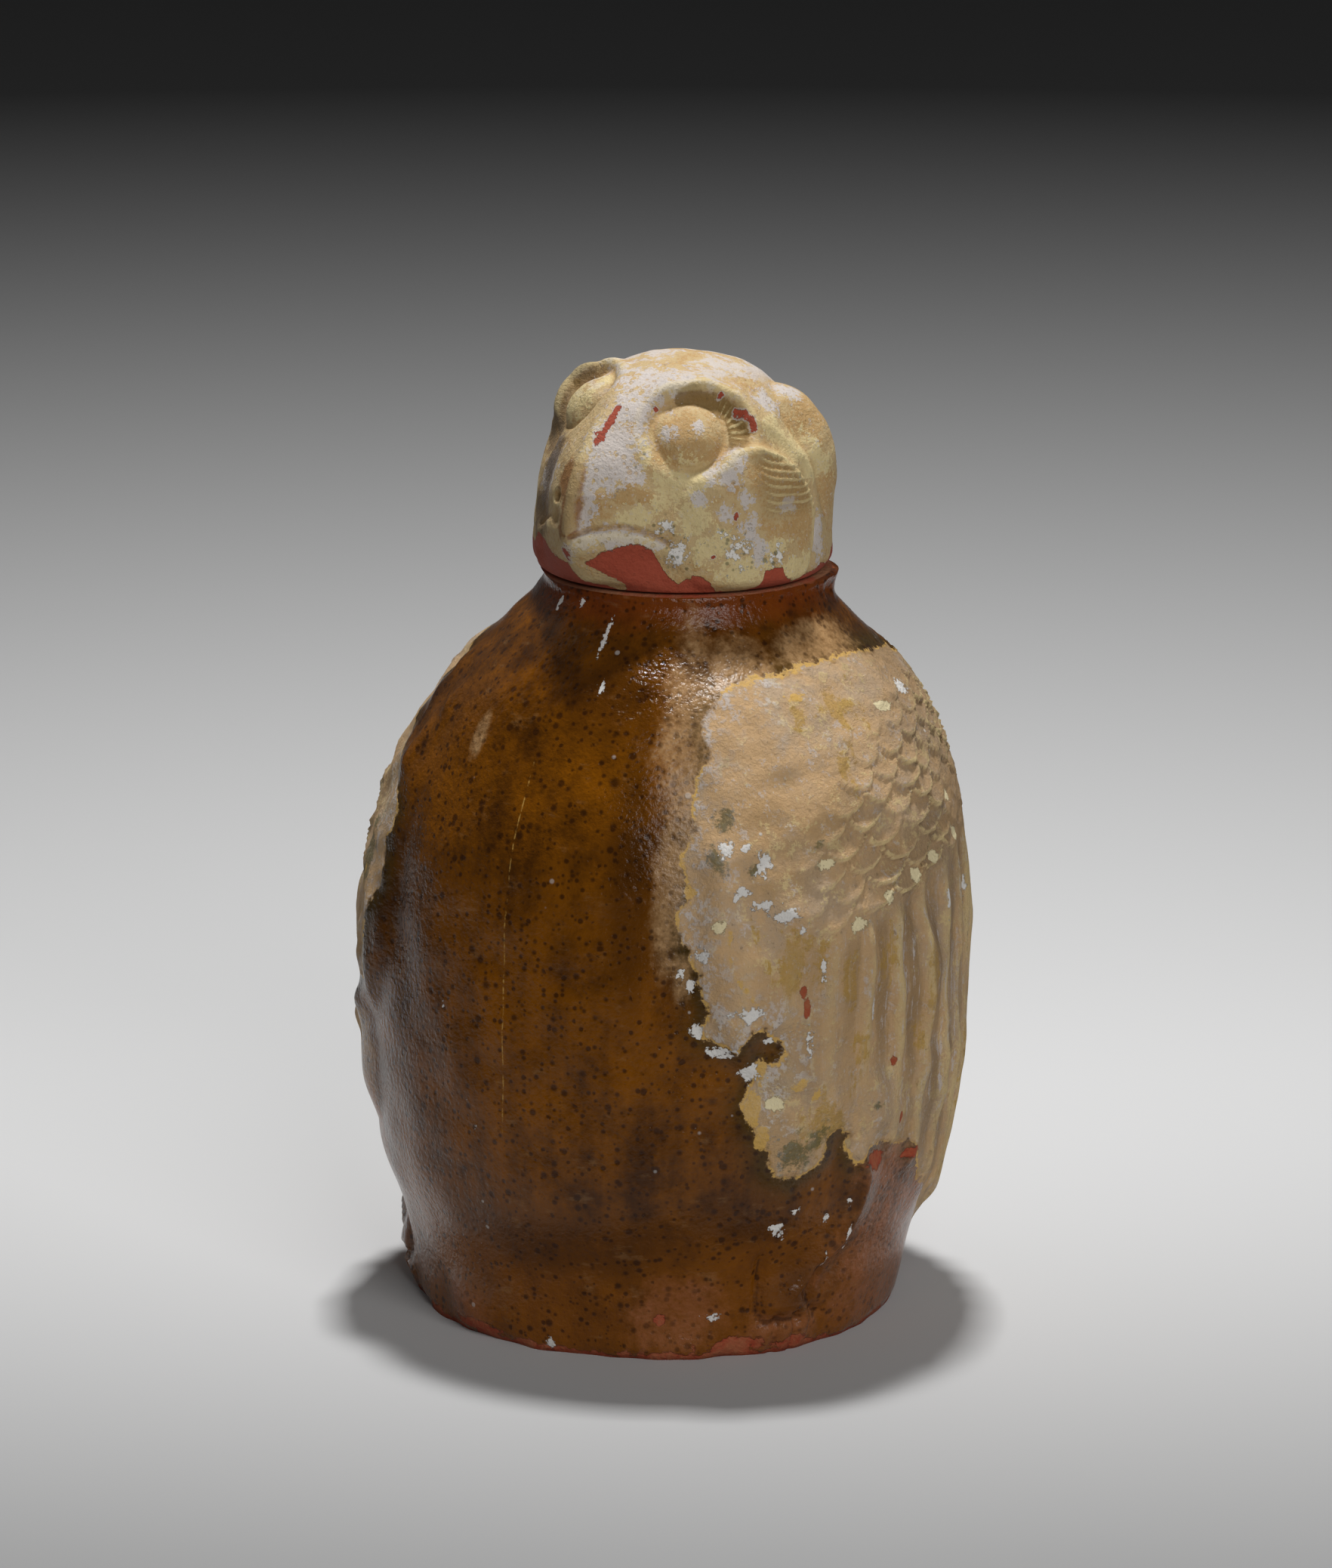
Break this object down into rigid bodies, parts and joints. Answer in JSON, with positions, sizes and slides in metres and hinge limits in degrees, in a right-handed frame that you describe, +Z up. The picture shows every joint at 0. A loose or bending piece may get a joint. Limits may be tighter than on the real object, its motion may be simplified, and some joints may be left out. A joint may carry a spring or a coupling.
{
  "type": "owl-shaped lidded jar",
  "caption": "Earthenware jar in the shape of a sitting owl: the egg-shaped body with folded wings is the vessel, and the owl's head is a loose lid that lifts off.",
  "frame": {"origin": "middle of the flat underside of the jar", "axes": "+Z up, -Y the way the owl's breast faces, +X to the owl's left"},
  "size_m": [0.121, 0.1181, 0.1876],
  "materials": {
    "glazed_body": "glossy amber-brown lead glaze on red earthenware, with matt buff wings",
    "buff_head": "matt worn buff glaze over red earthenware"
  },
  "bodies": {
    "jar": {"jar_body": "glazed_body"},
    "lid": {"head_lid": "buff_head"}
  },
  "joints": [
    {"name": "lid_lift", "type": "slide", "parent": "jar", "child": "lid", "axis": [0, 0, 1], "range_m": [0, 0.08]}
  ]
}
